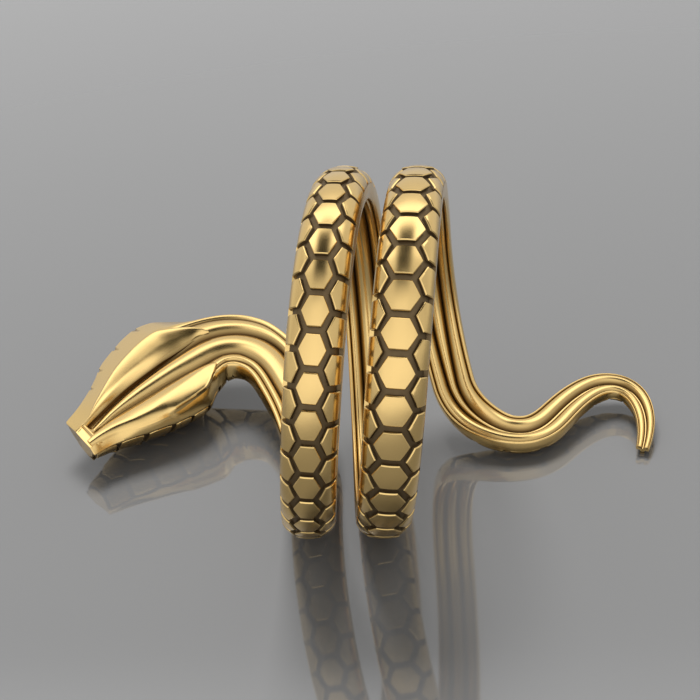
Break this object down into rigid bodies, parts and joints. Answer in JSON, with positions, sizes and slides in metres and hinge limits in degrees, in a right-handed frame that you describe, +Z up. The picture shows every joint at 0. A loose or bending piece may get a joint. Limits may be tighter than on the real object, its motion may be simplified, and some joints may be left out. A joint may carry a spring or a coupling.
{
  "type": "snake wrap ring",
  "caption": "Finger ring in the form of a scaled snake that winds round the finger, with the flat head out to one side and a waved tail out to the other.",
  "frame": {"origin": "middle of the bounding box's underside, on the surface that the ring rests on", "axes": "+X from the head towards the tail, within 4 degrees along the finger hole; +Z up as the ring rests on its side"},
  "size_m": [0.0386, 0.0264, 0.0212],
  "materials": {
    "gold": "polished yellow gold, darker in the grooves between the scales"
  },
  "bodies": {
    "root": {"snake": "gold"}
  },
  "joints": []
}
